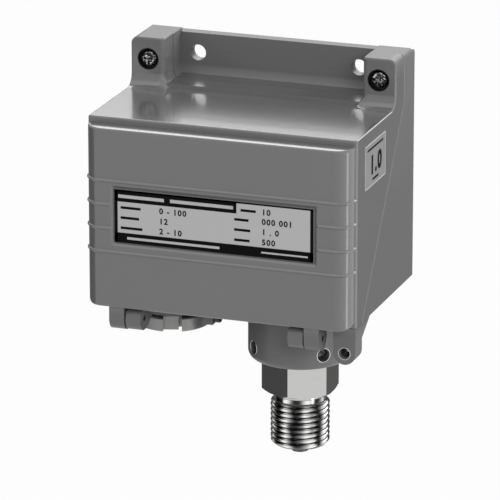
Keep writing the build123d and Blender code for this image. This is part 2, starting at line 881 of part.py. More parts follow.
def make_trimmer(x):
    """Square trimmer housing with a well for its rotor."""
    front = board_front()
    half = trimmer_size / 2
    heights = (top_row - half, top_row + half)
    body = block((x - half, x + half), (front - trimmer_height, front), heights)
    well = (front - trimmer_height - over, front - trimmer_height + rotor_seat)
    return body - rod_y(rotor_radius + rotor_play, *well, x, top_row)


def make_rotor(x):
    """Slotted rotor that turns in its trimmer."""
    front = board_front() - trimmer_height
    rotor = rod_y(rotor_radius, front - rotor_proud, front + rotor_seat, x, top_row)
    slot = Box(2 * rotor_radius, 2 * driver_slot_depth, driver_slot)
    return rotor - Pos(x, front - rotor_proud, up(top_row)) * slot


def make_capacitors():
    """Two round capacitors standing on the board."""
    front = board_front()
    cans = []
    for x in capacitors_at:
        can = rod_y(capacitor_radius, front - capacitor_height, front, x, top_row)
        cans.append(fillet(can.edges().filter_by(GeomType.CIRCLE).group_by(Axis.Y)[0], capacitor_round))
    return Compound(cans)


def make_chips():
    """Flat packages on the board."""
    front = board_front()
    packages = []
    for x, drop, width, tall in chips_at:
        heights = (board_top - drop - tall / 2, board_top - drop + tall / 2)
        packages.append(block((x - width / 2, x + width / 2), (front - chip_height, front), heights))
    return Compound(packages)


def make_parts():
    """Every node of the transmitter by name."""
    parts = {
        "base_case": make_base_case(),
        "front_cover": make_front_cover(),
        "cover_gasket": gasket_ring(seam_gap),
        "nameplate": make_nameplate(),
        "side_label": make_side_label(),
        "process_connection": make_process_connection(),
        "connection_seal": make_connection_seal(),
        "sensor_capsule": make_sensor_capsule(),
        "sensor_lead": make_sensor_lead(),
        "sensor_plug": make_sensor_plug(),
        "gland_nut": make_gland_nut(),
        "gland_washer": make_gland_washer(),
        "gland_packing": make_gland_packing(),
        "seal_screw": make_seal_screw(),
        "amplifier_board": make_amplifier_board(),
        "board_screws": make_board_screws(),
        "terminal_block": make_terminal_block(),
        "terminal_screws": make_terminal_screws(),
        "capacitors": make_capacitors(),
        "chips": make_chips(),
    }
    for name, side in (("left", -1), ("right", 1)):
        parts["cover_screw_" + name] = make_cover_screw(side)
        parts["hinge_pin_" + name] = make_hinge_pin(side)
        parts["set_screw_" + name] = make_set_screw(side)
    for name, x in trimmer_places.items():
        parts[name + "_trimmer"] = make_trimmer(x)
        parts[name + "_rotor"] = make_rotor(x)
    return parts


os.makedirs("parts", exist_ok=True)
for node, solid in make_parts().items():
    export_step(solid, "parts/" + node + ".step")
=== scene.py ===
import logging
from dataclasses import dataclass, field
from enum import Enum
from math import cos, pi, radians, sin, tau
from typing import Callable, Optional, Sequence, Union

import bmesh
import bpy
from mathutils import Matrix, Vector


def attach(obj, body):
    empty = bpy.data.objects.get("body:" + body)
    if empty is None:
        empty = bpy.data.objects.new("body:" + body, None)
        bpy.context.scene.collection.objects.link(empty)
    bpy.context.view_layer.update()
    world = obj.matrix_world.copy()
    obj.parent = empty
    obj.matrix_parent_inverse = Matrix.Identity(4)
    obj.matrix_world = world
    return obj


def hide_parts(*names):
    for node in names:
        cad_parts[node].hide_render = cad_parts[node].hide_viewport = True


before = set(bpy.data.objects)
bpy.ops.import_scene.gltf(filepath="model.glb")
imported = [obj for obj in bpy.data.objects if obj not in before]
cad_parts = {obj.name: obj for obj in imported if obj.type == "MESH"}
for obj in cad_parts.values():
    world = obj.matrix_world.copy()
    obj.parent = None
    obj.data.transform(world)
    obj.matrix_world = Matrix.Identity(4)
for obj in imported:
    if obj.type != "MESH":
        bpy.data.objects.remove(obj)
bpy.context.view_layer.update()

MM = 0.001
CASE_HEIGHT_ZERO = -76.0
LOG = logging.getLogger("transmitter")

Colour = tuple[float, float, float]
Point = tuple[float, float, float]


def up(height: float) -> float:
    """Z, in millimetres, of a height above the underside of the case."""
    return height + CASE_HEIGHT_ZERO


def grey(tone: float) -> Colour:
    """A neutral colour."""
    return (tone, tone, tone)


def dim(colour: Colour, share: float) -> Colour:
    """A colour at a share of its brightness."""
    return tuple(part * share for part in colour)


PROCESS_AXIS = (18.8, -34.3)
THREAD_TOP = up(-35.9)
NECK_LENGTH = 1.5
UPRIGHT = pi / 2
SIDE_NAMES = {-1: "left", 1: "right"}


@dataclass(frozen=True)
class Number:
    """A value in a node tree that is used in plain arithmetic.

    Args:
        tree: The node tree that the value belongs to.
        socket: The output that gives the value.
    """

    tree: bpy.types.NodeTree
    socket: bpy.types.NodeSocket

    def _join(self, operation: str, *terms: "Operand") -> "Number":
        """Adds one Math node.

        Args:
            operation: The Math node's operation.
            terms: What goes into it, in order.

        Returns:
            The node's result.
        """
        node = self.tree.nodes.new("ShaderNodeMath")
        node.operation = operation
        for place, term in enumerate(terms):
            if isinstance(term, Number):
                self.tree.links.new(term.socket, node.inputs[place])
            else:
                node.inputs[place].default_value = term
        return Number(self.tree, node.outputs[0])

    def __add__(self, other: "Operand") -> "Number":
        """Sum."""
        return self._join("ADD", self, other)

    def __radd__(self, other: float) -> "Number":
        """Sum, from the right."""
        return self._join("ADD", other, self)

    def __sub__(self, other: "Operand") -> "Number":
        """Difference."""
        return self._join("SUBTRACT", self, other)

    def __rsub__(self, other: float) -> "Number":
        """Difference, from the right."""
        return self._join("SUBTRACT", other, self)

    def __mul__(self, other: "Operand") -> "Number":
        """Product."""
        return self._join("MULTIPLY", self, other)

    def __rmul__(self, other: float) -> "Number":
        """Product, from the right."""
        return self._join("MULTIPLY", other, self)

    def __truediv__(self, other: "Operand") -> "Number":
        """Quotient."""
        return self._join("DIVIDE", self, other)

    def __pow__(self, other: "Operand") -> "Number":
        """Power."""
        return self._join("POWER", self, other)

    def __lt__(self, other: "Operand") -> "Number":
        """One where this is the smaller, else zero."""
        return self._join("LESS_THAN", self, other)

    def __gt__(self, other: "Operand") -> "Number":
        """One where this is the larger, else zero."""
        return self._join("GREATER_THAN", self, other)

    def angle_to(self, other: "Operand") -> "Number":
        """The angle, in radians, whose tangent is this over the other."""
        return self._join("ARCTAN2", self, other)

    def cosine(self) -> "Number":
        """Cosine of an angle in radians."""
        return self._join("COSINE", self)

    def most(self, other: "Operand") -> "Number":
        """The larger of two values."""
        return self._join("MAXIMUM", self, other)

    def remainder(self, step: float) -> "Number":
        """What is left after whole steps, from 0 to the step."""
        return self._join("FLOORED_MODULO", self, step)


Operand = Union[Number, float]


def sway(value: Number, reach: float) -> Number:
    """Noise from 0 to 1 turned into a change of half the reach to each side."""
    return (value - 0.5) * reach


class Finisher:
    """Builds one material round a Principled shader."""

    def __init__(self, name: str) -> None:
        """Starts the material.

        Args:
            name: The material's name.
        """
        self.material = bpy.data.materials.new(name)
        self.material.use_nodes = True
        self.tree = self.material.node_tree
        self.shader = self.tree.nodes["Principled BSDF"]
        self._place: Optional[bpy.types.NodeSocket] = None

    def node(
        self, kind: str, settings: Optional[dict] = None, values: Optional[dict] = None
    ) -> bpy.types.Node:
        """Adds one node of any type.

        Args:
            kind: The node's type.
            settings: Its settings, which are set first.
            values: The values or links of its inputs, by name or number.

        Returns:
            The node.
        """
        made = self.tree.nodes.new(kind)
        for key, value in (settings or {}).items():
            if key == "stops":
                self._set_stops(made, value)
            else:
                setattr(made, key, value)
        for key, value in (values or {}).items():
            self._put(made.inputs[key], value)
        return made

    def _set_stops(self, ramp: bpy.types.Node, stops: Sequence[tuple[float, float]]) -> None:
        """Gives a colour ramp its grey stops.

        Args:
            ramp: The ramp's node.
            stops: The position and the grey of each stop.
        """
        elements = ramp.color_ramp.elements
        while len(elements) < len(stops):
            elements.new(1.0)
        for element, (position, tone) in zip(elements, stops):
            element.position = position
            element.color = (*grey(tone), 1.0)

    def _put(self, entry: bpy.types.NodeSocket, value: object) -> None:
        """Links a value to an input, or sets it there.

        Args:
            entry: The input.
            value: A number in the tree, an output, a colour or a plain value.
        """
        if isinstance(value, Number):
            self.tree.links.new(value.socket, entry)
        elif isinstance(value, bpy.types.NodeSocket):
            self.tree.links.new(value, entry)
        elif isinstance(value, tuple) and entry.type == "RGBA":
            entry.default_value = (*value, 1.0)
        else:
            entry.default_value = value

    def set(self, **values: object) -> None:
        """Sets or links inputs of the shader, with an underscore for each space in a name."""
        for key, value in values.items():
            self._put(self.shader.inputs[key.replace("_", " ")], value)

    def place(self) -> bpy.types.NodeSocket:
        """The Object coordinates, in metres.

        Returns:
            The output that gives them.
        """
        if self._place is None:
            self._place = self.node("ShaderNodeTexCoord").outputs["Object"]
        return self._place

    def axes(self) -> tuple[Number, Number, Number]:
        """X, Y and Z in millimetres."""
        split = self.node("ShaderNodeSeparateXYZ", values={0: self.place()})
        return tuple(Number(self.tree, out) * (1 / MM) for out in split.outputs)

    def noise(
        self, size: float, detail: float = 2.0, stretch: Point = (1.0, 1.0, 1.0)
    ) -> Number:
        """Smooth noise from 0 to 1.

        Args:
            size: How large its patches are, in millimetres.
            detail: Its octaves.
            stretch: How much longer the patches are along X, Y and Z.

        Returns:
            The noise.
        """
        scale = tuple(1.0 / (size * MM * part) for part in stretch)
        mapped = self.node("ShaderNodeMapping", values={"Vector": self.place(), "Scale": scale})
        made = self.node(
            "ShaderNodeTexNoise",
            values={"Vector": mapped.outputs[0], "Scale": 1.0, "Detail": detail},
        )
        return Number(self.tree, made.outputs[0])

    def ramp(self, value: Number, stops: Sequence[tuple[float, float]]) -> Number:
        """Reads a value off a line of (position, result) stops."""
        made = self.node("ShaderNodeValToRGB", {"stops": stops}, {0: value})
        return Number(self.tree, made.outputs[0])

    def mix(self, low: object, high: object, share: Operand) -> bpy.types.NodeSocket:
        """Mixes two colours.

        Args:
            low: The colour at a share of 0.
            high: The colour at a share of 1.
            share: The share.

        Returns:
            The mixed colour.
        """
        made = self.node("ShaderNodeMix", {"data_type": "RGBA"}, {0: share, 6: low, 7: high})
        return made.outputs[2]

    def bump(self, height: Number, distance: float) -> None:
        """Feeds a relief to the shader's normal.

        Args:
            height: The relief, where 1 is its full height.
            distance: That full height, in millimetres.
        """
        made = self.node("ShaderNodeBump", values={"Height": height, "Distance": distance * MM})
        self.set(Normal=made.outputs[0])

    def glow(self, colour: Colour) -> bpy.types.NodeSocket:
        """Even light of its own.

        Args:
            colour: The light's colour.

        Returns:
            The emission's output.
        """
        return self.node("ShaderNodeEmission", values={"Color": colour}).outputs[0]

    def show(self, surface: bpy.types.NodeSocket) -> None:
        """Makes an output the material's surface."""
        self._put(self.tree.nodes["Material Output"].inputs["Surface"], surface)


@dataclass(frozen=True)
class CastPaint:
    """Baked enamel on a die casting: even grey with a faint orange peel, dull on its outer ends.

    Args:
        name: The material's name.
        tone: Its middle grey.
        cloud: How far the grey drifts to each side.
        cloud_size: Size of the drifts, in millimetres.
        speck_size: Size of the specks.
        speck_share: How much of the drift is specks.
        gloss: Roughness of the glossy paint.
        dull: How much rougher the dull paint is.
        cloud_sway: How much the roughness varies with the drifts.
        speck_sway: How much it varies with the specks.
        coat: Weight of the clear coat on the glossy paint.
        coat_loss: How much less of it the dull paint has.
        coat_gloss: Roughness of the clear coat.
        peel_size: Size of the orange peel.
        peel_height: Its height.
        peel_specks: How much relief the specks have beside it.
        dull_from: Z where the paint starts to turn dull, upwards.
        dull_above: Z from which it is dull.
        dull_under: Z where it starts to turn dull, downwards.
        dull_below: Z below which it is dull.
    """

    name: str = "case_enamel"
    tone: float = 0.1
    cloud: float = 0.005
    cloud_size: float = 16.0
    speck_size: float = 0.28
    speck_share: float = 0.25
    gloss: float = 0.2
    dull: float = 0.25
    cloud_sway: float = 0.04
    speck_sway: float = 0.03
    coat: float = 0.8
    coat_loss: float = 0.65
    coat_gloss: float = 0.08
    peel_size: float = 0.8
    peel_height: float = 0.005
    peel_specks: float = 0.3
    dull_from: float = 1.0
    dull_above: float = 6.0
    dull_under: float = -76.0
    dull_below: float = -79.0

    def material(self) -> bpy.types.Material:
        """Builds the enamel.

        Returns:
            The finished material.
        """
        made = Finisher(self.name)
        cloud = made.noise(self.cloud_size, 3.0)
        speck = made.noise(self.speck_size, 1.0)
        share = cloud * (1 - self.speck_share) + speck * self.speck_share
        dull = self._dull(made)
        made.set(
            Base_Color=made.mix(grey(self.tone - self.cloud), grey(self.tone + self.cloud), share),
            Roughness=self.gloss
            + dull * self.dull
            + sway(cloud, self.cloud_sway)
            + sway(speck, self.speck_sway),
            Coat_Weight=self.coat - dull * self.coat_loss,
            Coat_Roughness=self.coat_gloss,
        )
        made.bump(made.noise(self.peel_size) + speck * self.peel_specks, self.peel_height)
        return made.material

    def _dull(self, made: Finisher) -> Number:
        """Where the paint is dull.

        Args:
            made: The material.

        Returns:
            0 on glossy paint and 1 on dull paint.
        """
        height = made.axes()[2]
        rise = (height - self.dull_from) / (self.dull_above - self.dull_from)
        fall = (height - self.dull_under) / (self.dull_below - self.dull_under)
        return made.ramp(rise.most(fall), ((0.0, 0.0), (1.0, 1.0)))


class Lay(Enum):
    """Which way the tool marks of a surface run: their stretch along X, Y and Z."""

    ROUND = (30.0, 30.0, 1.0)
    ALONG = (1.0, 1.0, 30.0)
    CAST = (1.0, 1.0, 1.0)


@dataclass(frozen=True)
class Metal:
    """Bare or plated metal with the marks of its making, or dark metal with painted glints.

    Args:
        name: The material's name.
        colour: Its brightest colour.
        roughness: Its middle roughness.
        lay: Which way its marks run.
        variation: How much darker its darkest places are.
        mark: Height of the marks, in millimetres.
        metallic: How metallic it is.
        glint: Whether it is dark with painted glints in small bright patches, in place of even
            marks.
        glint_ramp: Share of the noise from which a painted glint starts, and from which it is
            full.
        line_size: Width of turned or brushed marks.
        grain_size: Size of a casting's grain.
        line_share: How much of the variation the marks give, beside the clouds.
        cloud_size: Size of the clouds.
        line_sway: How much the roughness varies with the marks.
        cloud_sway: How much it varies with the clouds.
    """

    name: str
    colour: Colour
    roughness: float
    lay: Lay
    variation: float = 0.18
    mark: float = 0.004
    metallic: float = 1.0
    glint: bool = False
    glint_ramp: tuple[float, float] = (0.52, 0.62)
    line_size: float = 0.16
    grain_size: float = 0.6
    line_share: float = 0.6
    cloud_size: float = 4.0
    line_sway: float = 0.16
    cloud_sway: float = 0.08

    def material(self) -> bpy.types.Material:
        """Builds the metal.

        Returns:
            The finished material.
        """
        made = Finisher(self.name)
        size = self.grain_size if self.lay is Lay.CAST else self.line_size
        lines = made.noise(size, 3.0, self.lay.value)
        cloud = made.noise(self.cloud_size)
        share = lines * self.line_share + cloud * (1 - self.line_share)
        # Painted glints: a steep ramp turns the marks into small bright patches on dark metal.
        if self.glint:
            share = made.ramp(lines, tuple(zip(self.glint_ramp, (0.0, 1.0))))
        made.set(
            Base_Color=made.mix(dim(self.colour, 1 - self.variation), self.colour, share),
            Metallic=self.metallic,
            Roughness=self.roughness + sway(lines, self.line_sway) + sway(cloud, self.cloud_sway),
        )
        made.bump(lines, self.mark)
        return made.material


@dataclass(frozen=True)
class CutThread(Metal):
    """Turned steel: a plain hexagon, and a smooth thread with painted reflections in bands round
    its axis and painted shade in its roots.

    Args:
        centre: X and Y of the axis, in millimetres.
        root: Radius at which the painted shade is darkest.
        crest: Radius from which the steel has no painted shade.
        top: Z where the turned part starts.
        neck_length: Length of the neck above the thread, which has no painted shade.
        shade: Brightness of the painted shade in the roots, as a share of the steel's.
        root_roughness: How much rougher the roots are, under the painted shade.
        reflection_colour: Colour of the painted reflections on the turned part.
        polish: Roughness of the turned part.
        reflection_bands: How many bands of painted reflection it has round the axis.
        reflection_start: Where the first band lies, in degrees from the front.
        reflection_drift: How much the bands wander, in radians.
        reflection_drift_size: Size of that wandering.
        reflection_low: Brightness between the bands, as a share of theirs.
        reflection_edge: How narrow the bands are.
    """

    line_size: float = 0.14
    line_sway: float = 0.08
    cloud_sway: float = 0.05
    centre: tuple[float, float] = PROCESS_AXIS
    root: float = 9.5
    crest: float = 10.1
    top: float = THREAD_TOP
    neck_length: float = NECK_LENGTH
    shade: float = 0.14
    root_roughness: float = 0.15
    reflection_colour: Colour = (0.93, 0.93, 0.92)
    polish: float = 0.1
    reflection_bands: float = 8.0
    reflection_start: float = 34.0
    reflection_drift: float = 0.5
    reflection_drift_size: float = 6.0
    reflection_low: float = 0.03
    reflection_edge: float = 1.3

    def material(self) -> bpy.types.Material:
        """Builds the steel.

        Returns:
            The finished material.
        """
        made = Finisher(self.name)
        x, y, z = made.axes()
        # Painted shade: the roots are darkened towards the shade colour; the neck, the crests and
        # the hexagon keep the steel's colour.
        unshaded = self._depth(made, x, y).most(z > self.top - self.neck_length)
        turned = z < self.top
        lines = made.noise(self.line_size, 3.0, self.lay.value)
        cloud = made.noise(self.cloud_size)
        plain = made.mix(dim(self.colour, 1 - self.variation), self.colour, lines)
        # Painted reflections: the turned part takes the banded colour in place of the plain steel.
        light = made.mix(plain, self._painted_reflections(made, x, y), turned)
        made.set(
            Base_Color=made.mix(dim(self.colour, self.shade), light, unshaded),
            Metallic=self.metallic,
            Roughness=self.roughness
            + turned * (self.polish - self.roughness)
            + (1 - unshaded) * self.root_roughness
            + sway(lines, self.line_sway)
            + sway(cloud, self.cloud_sway),
        )
        made.bump(lines, self.mark)
        return made.material

    def _depth(self, made: Finisher, x: Number, y: Number) -> Number:
        """How far out a point of the thread lies.

        Args:
            made: The material.
            x: X in millimetres.
            y: Y in millimetres.

        Returns:
            0 at the roots and 1 at the crests.
        """
        reach = ((x - self.centre[0]) ** 2.0 + (y - self.centre[1]) ** 2.0) ** 0.5
        share = (reach - self.root) / (self.crest - self.root)
        return made.ramp(share, ((0.0, 0.0), (1.0, 1.0)))

    def _painted_reflections(self, made: Finisher, x: Number, y: Number) -> bpy.types.NodeSocket:
        """The turned surface's colour: painted reflections, in bands that run along the axis.

        Args:
            made: The material.
            x: X in millimetres.
            y: Y in millimetres.

        Returns:
            The colour.
        """
        drift = sway(made.noise(self.reflection_drift_size, 1.0), self.reflection_drift)
        angle = (x - self.centre[0]).angle_to(self.centre[1] - y) + drift
        wave = ((angle - radians(self.reflection_start)) * self.reflection_bands).cosine()
        share = (wave * 0.5 + 0.5) ** self.reflection_edge
        return made.mix(dim(self.reflection_colour, self.reflection_low), self.reflection_colour, share)


@dataclass(frozen=True)
class Moulded:
    """Moulded plastic or rubber with a fine spark-eroded grain.

    Args:
        name: The material's name.
        colour: Its brightest colour.
        roughness: Its middle roughness.
        grain: Size of the grain, in millimetres.
        relief: Height of the grain.
        shine: Strength of its reflections.
        grain_share: How much of the variation the grain gives, beside the clouds.
        grain_sway: How much the roughness varies with the grain.
        cloud_size: Size of the clouds.
        shade: Brightness of its darkest places, as a share.
    """

    name: str
    colour: Colour
    roughness: float
    grain: float = 0.35
    relief: float = 0.01
    shine: float = 0.5
    grain_share: float = 0.4
    grain_sway: float = 0.12
    cloud_size: float = 6.0
    shade: float = 0.85

    def material(self) -> bpy.types.Material:
        """Builds the plastic.

        Returns:
            The finished material.
        """
        made = Finisher(self.name)
        grain = made.noise(self.grain)
        cloud = made.noise(self.cloud_size)
        share = cloud * (1 - self.grain_share) + grain * self.grain_share
        made.set(
            Base_Color=made.mix(dim(self.colour, self.shade), self.colour, share),
            Roughness=self.roughness + sway(grain, self.grain_sway),
            Specular_IOR_Level=self.shine,
        )
        made.bump(grain, self.relief)
        return made.material


@dataclass(frozen=True)
class Board:
    """Circuit board: green solder mask over copper tracks, with the weave of the glass cloth.

    Args:
        name: The material's name.
        mask: Colour of the bare mask.
        track: Colour of the mask over a track.
        pitch: Distance of the tracks, in millimetres.
        track_width: Their width.
        bend_size: Size of the stretches after which a track steps aside.
        row_bend: Share of the noise from which an upright track steps aside.
        column_bend: The same for a level track.
        region_size: Size of the regions with tracks of one direction.
        gloss: Middle roughness.
        coat: Weight of the clear coat.
        weave_size: Size of the weave.
        weave_sway: How much the roughness varies with it.
        weave_share: Its height, as a share of the tracks'.
        relief: Height of the tracks.
    """

    name: str = "board_mask"
    mask: Colour = (0.012, 0.075, 0.035)
    track: Colour = (0.03, 0.16, 0.07)
    pitch: float = 2.54
    track_width: float = 0.7
    bend_size: float = 9.0
    row_bend: float = 0.52
    column_bend: float = 0.5
    region_size: float = 22.0
    gloss: float = 0.32
    coat: float = 0.2
    weave_size: float = 0.5
    weave_sway: float = 0.1
    weave_share: float = 0.1
    relief: float = 0.03

    def material(self) -> bpy.types.Material:
        """Builds the board's face.

        Returns:
            The finished material.
        """
        made = Finisher(self.name)
        x, _, z = made.axes()
        bend = made.noise(self.bend_size, 0.0)
        row = (x + (bend > self.row_bend) * (self.pitch / 2)).remainder(self.pitch)
        column = (z + (bend > self.column_bend) * (self.pitch / 2)).remainder(self.pitch)
        region = made.noise(self.region_size, 0.0) > 0.5
        upright = (row < self.track_width) * region
        level = (column < self.track_width) * (1 - region)
        lines = upright + level
        weave = made.noise(self.weave_size, 1.0)
        made.set(
            Base_Color=made.mix(self.mask, self.track, lines),
            Roughness=self.gloss + sway(weave, self.weave_sway),
            Coat_Weight=self.coat,
        )
        made.bump(lines + weave * self.weave_share, self.relief)
        return made.material


class Finish(Enum):
    """The finishes of this transmitter, by the place that each is used."""

    PAINT = CastPaint()
    BASE_PAINT = CastPaint("base_enamel", dull_from=-50.0, dull_above=6.0)
    STEEL = Metal("turned_steel", (0.60, 0.60, 0.59), 0.17, Lay.ROUND)
    # Process connection: painted reflections in bands on the thread, and painted shade in its
    # roots.
    THREAD = CutThread("threaded_steel", (0.62, 0.62, 0.61), 0.16, Lay.ROUND, mark=0.002)
    BLACKED = Moulded("blacked_screw", grey(0.008), 0.12, grain=0.6, relief=0.006, shine=0.45)
    # Cover screw heads: dark metal with painted glints.
    HEAD = Metal(
        "screw_head", grey(0.6), 0.16, Lay.CAST, variation=0.96, mark=0.002, glint=True
    )
    SOCKET = Metal("socket_screw", grey(0.7), 0.2, Lay.CAST, variation=0.4, mark=0.002)
    NICKEL = Metal(
        "gland_plating", (0.28, 0.28, 0.275), 0.42, Lay.CAST, mark=0.012, metallic=0.75
    )
    TIN = Metal("terminal_plating", (0.62, 0.60, 0.56), 0.28, Lay.CAST)
    BRASS = Metal("trimmer_brass", (0.62, 0.43, 0.17), 0.27, Lay.CAST)
    PLATE = Metal("plate_aluminium", grey(0.4), 0.45, Lay.ALONG, variation=0.06, metallic=0.3)
    FOIL = Moulded("label_foil", grey(0.17), 0.42, relief=0.003)
    FOIL_EDGE = Moulded("label_edge", grey(0.36), 0.42, relief=0.003)
    INK = Moulded("print_ink", grey(0.004), 0.7, relief=0.003, shine=0.05)
    SEAL = Moulded("seal_rubber", (0.018, 0.018, 0.019), 0.62)
    BLACK = Moulded("black_moulding", (0.02, 0.02, 0.022), 0.38)
    BLUE = Moulded("blue_moulding", (0.02, 0.09, 0.28), 0.36)
    WHITE = Moulded("white_moulding", (0.62, 0.60, 0.55), 0.4)
    BOARD = Board()

    def dress(self, piece: bpy.types.Object) -> None:
        """Puts this finish on every material slot of a piece.

        Args:
            piece: The piece.
        """
        made = bpy.data.materials.get(self.value.name) or self.value.material()
        if not piece.data.materials:
            piece.data.materials.append(made)
        for entry in piece.material_slots:
            entry.material = made


NODE_FINISH = {
    "base_case": Finish.BASE_PAINT,
    "front_cover": Finish.PAINT,
    "cover_gasket": Finish.SEAL,
    "nameplate": Finish.PLATE,
    "side_label": Finish.FOIL,
    "connection_seal": Finish.SEAL,
    "sensor_capsule": Finish.STEEL,
    "sensor_lead": Finish.BLACK,
    "sensor_plug": Finish.WHITE,
    "gland_nut": Finish.NICKEL,
    "gland_washer": Finish.NICKEL,
    "gland_packing": Finish.SEAL,
    "seal_screw": Finish.BLACKED,
    "amplifier_board": Finish.BOARD,
    "board_screws": Finish.TIN,
    "terminal_block": Finish.BLACK,
    "terminal_screws": Finish.TIN,
    "capacitors": Finish.BLUE,
    "chips": Finish.BLACK,
    "cover_screw_left": Finish.HEAD,
    "cover_screw_right": Finish.HEAD,
    "hinge_pin_left": Finish.BLACKED,
    "hinge_pin_right": Finish.BLACKED,
    "set_screw_left": Finish.SOCKET,
    "set_screw_right": Finish.SOCKET,
    "zero_trimmer": Finish.BLUE,
    "span_trimmer": Finish.BLUE,
    "zero_rotor": Finish.BRASS,
    "span_rotor": Finish.BRASS,
    "process_connection": Finish.STEEL,
}


def only(piece: Optional[bpy.types.Object]) -> None:
    """Deselects everything, then selects one object and makes it active.

    Args:
        piece: The object, or none to leave all deselected.
    """
    bpy.ops.object.select_all(action="DESELECT")
    if piece is not None:
        piece.select_set(True)
        bpy.context.view_layer.objects.active = piece


def merge(pieces: Sequence[bpy.types.Object], name: str) -> bpy.types.Object:
    """Makes one named piece of mesh objects, with its place in its mesh.

    Args:
        pieces: The objects, anywhere.
        name: The piece's name.

    Returns:
        The piece, at the origin.
    """
    only(pieces[0])
    for piece in pieces:
        piece.select_set(True)
    if len(pieces) > 1:
        bpy.ops.object.join()
    joined = bpy.context.view_layer.objects.active
    joined.name = name
    joined.data.name = name
    only(joined)
    bpy.ops.object.transform_apply(location=True, rotation=True, scale=True)
    return joined


def edit(piece: bpy.types.Object) -> bmesh.types.BMesh:
    """Opens a piece in edit mode with nothing selected.

    Args:
        piece: The piece.

    Returns:
        Its live mesh.
    """
    only(piece)
    bpy.ops.object.mode_set(mode="EDIT")
    bpy.ops.mesh.select_all(action="DESELECT")
    return bmesh.from_edit_mesh(piece.data)


def leave(piece: bpy.types.Object) -> None:
    """Writes the live mesh back and leaves edit mode."""
    bmesh.update_edit_mesh(piece.data)
    bpy.ops.object.mode_set(mode="OBJECT")


def smooth(piece: bpy.types.Object, angle: float = 35.0) -> None:
    """Shades a piece smooth, apart from edges sharper than an angle in degrees."""
    only(piece)
    bpy.ops.object.shade_smooth_by_angle(angle=radians(angle))


def finish_piece(piece: bpy.types.Object, body: str, finish: Finish) -> None:
    """Dresses a piece and sets it on its body.

    Args:
        piece: The piece.
        body: The body that it moves with.
        finish: What it is dressed in.
    """
    finish.dress(piece)
    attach(piece, body)
    LOG.info("piece %s on body %s, %d faces", piece.name, body, len(piece.data.polygons))


def aim(made: bpy.types.Object, place: Point, target: Point) -> None:
    """Adds a lamp or a camera to the scene, facing a point.

    Args:
        made: The lamp or camera.
        place: Where it stands, in metres.
        target: The point that it faces.
    """
    made.location = place
    made.rotation_euler = (Vector(target) - Vector(place)).to_track_quat("-Z", "Y").to_euler()
    bpy.context.scene.collection.objects.link(made)


@dataclass
class Housing:
    """Every solid of the frame that keeps its own shape, each with its real finish.

    Args:
        finishes: The finish of each solid, by its node's name.
    """

    finishes: dict[str, Finish] = field(default_factory=lambda: dict(NODE_FINISH))

    def build(self) -> None:
        """Dresses the solids."""
        for node, finish in self.finishes.items():
            finish.dress(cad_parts[node])
            LOG.info("solid %s in %s", node, finish.value.name)


